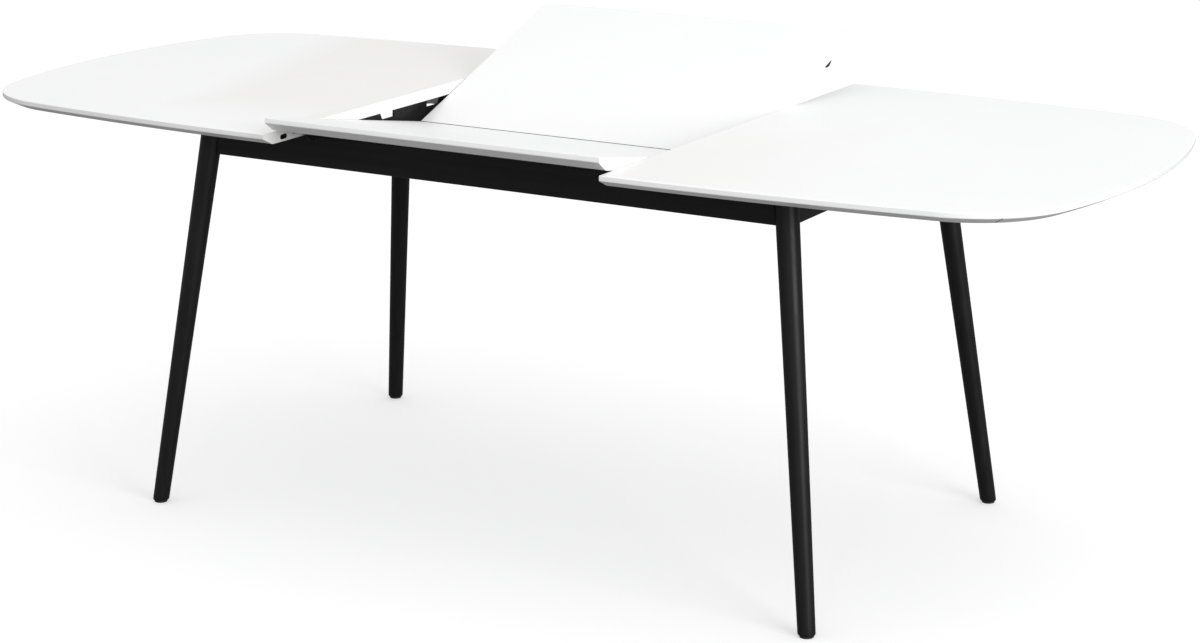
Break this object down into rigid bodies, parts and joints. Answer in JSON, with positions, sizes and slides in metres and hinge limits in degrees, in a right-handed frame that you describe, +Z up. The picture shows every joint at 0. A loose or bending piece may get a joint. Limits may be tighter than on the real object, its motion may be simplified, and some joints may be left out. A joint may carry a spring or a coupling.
{
  "type": "extendable dining table",
  "caption": "Extendable dining table: two boat-shaped top halves slide apart on a legged frame for a folding butterfly leaf.",
  "frame": {"origin": "on the floor, midway between the four feet and under the middle of the table", "axes": "+X along the table, the way the right half pulls out; +Y towards the back; +Z up"},
  "size_m": [2.178, 0.954, 0.8517],
  "materials": {
    "white_lacquer": "satin white lacquer on board",
    "black_lacquer": "satin black lacquer over solid wood",
    "black_steel": "black powder coat",
    "zinc_steel": "bright zinc plate",
    "black_nylon": "moulded black nylon",
    "grey_felt": "pressed grey felt"
  },
  "bodies": {
    "frame": {"apron_left": "black_lacquer", "cross_member_left": "black_steel", "pivot_bracket_left": "black_steel", "leg_front_left": "black_lacquer", "foot_glide_front_left": "black_nylon", "corner_plate_front_left": "zinc_steel", "leg_bolt_front_left": "zinc_steel", "glide_block_front_left": "black_nylon", "leaf_pad_front_left": "grey_felt", "leg_back_left": "black_lacquer", "foot_glide_back_left": "black_nylon", "corner_plate_back_left": "zinc_steel", "leg_bolt_back_left": "zinc_steel", "glide_block_back_left": "black_nylon", "leaf_pad_back_left": "grey_felt", "apron_right": "black_lacquer", "cross_member_right": "black_steel", "pivot_bracket_right": "black_steel", "leg_front_right": "black_lacquer", "foot_glide_front_right": "black_nylon", "corner_plate_front_right": "zinc_steel", "leg_bolt_front_right": "zinc_steel", "glide_block_front_right": "black_nylon", "leaf_pad_front_right": "grey_felt", "leg_back_right": "black_lacquer", "foot_glide_back_right": "black_nylon", "corner_plate_back_right": "zinc_steel", "leg_bolt_back_right": "zinc_steel", "glide_block_back_right": "black_nylon", "leaf_pad_back_right": "grey_felt", "apron_front": "black_lacquer", "slide_channel_front": "zinc_steel", "apron_back": "black_lacquer", "slide_channel_back": "zinc_steel"},
    "top_left": {"top_left": "white_lacquer", "runner_front_left": "black_steel", "socket_front_left": "black_nylon", "runner_back_left": "black_steel", "socket_back_left": "black_nylon"},
    "top_right": {"top_right": "white_lacquer", "runner_front_right": "black_steel", "socket_front_right": "black_nylon", "runner_back_right": "black_steel", "socket_back_right": "black_nylon"},
    "leaf_back": {"leaf_panel_back": "white_lacquer", "hinge_1_back": "black_steel", "hinge_2_back": "black_steel", "hinge_3_back": "black_steel", "catch_back_left": "black_steel", "catch_back_right": "black_steel", "pivot_arm_left": "black_steel", "pivot_arm_right": "black_steel"},
    "leaf_front": {"leaf_panel_front": "white_lacquer", "hinge_1_front": "black_steel", "hinge_2_front": "black_steel", "hinge_3_front": "black_steel", "catch_front_left": "black_steel", "catch_front_right": "black_steel"}
  },
  "joints": [
    {"name": "left_top_slide", "type": "slide", "parent": "frame", "child": "top_left", "axis": [-1, 0, 0], "range_m": [-0.0015, 0.03]},
    {"name": "right_top_slide", "type": "slide", "parent": "frame", "child": "top_right", "axis": [1, 0, 0], "range_m": [-0.0015, 0.03]},
    {"name": "leaf_pivot", "type": "hinge", "parent": "frame", "child": "leaf_back", "pos_m": [0, 0.158, 0.715], "axis": [1, 0, 0], "range_deg": [-19.97, 96.53]},
    {"name": "leaf_fold", "type": "hinge", "parent": "leaf_back", "child": "leaf_front", "pos_m": [0, -0.00245, 0.69393], "axis": [-1, 0, 0], "range_deg": [-30.18, 145.84]}
  ],
  "couplings": [
    {"joint": "leaf_fold", "follows": "leaf_pivot", "ratio": 1.5108}
  ]
}
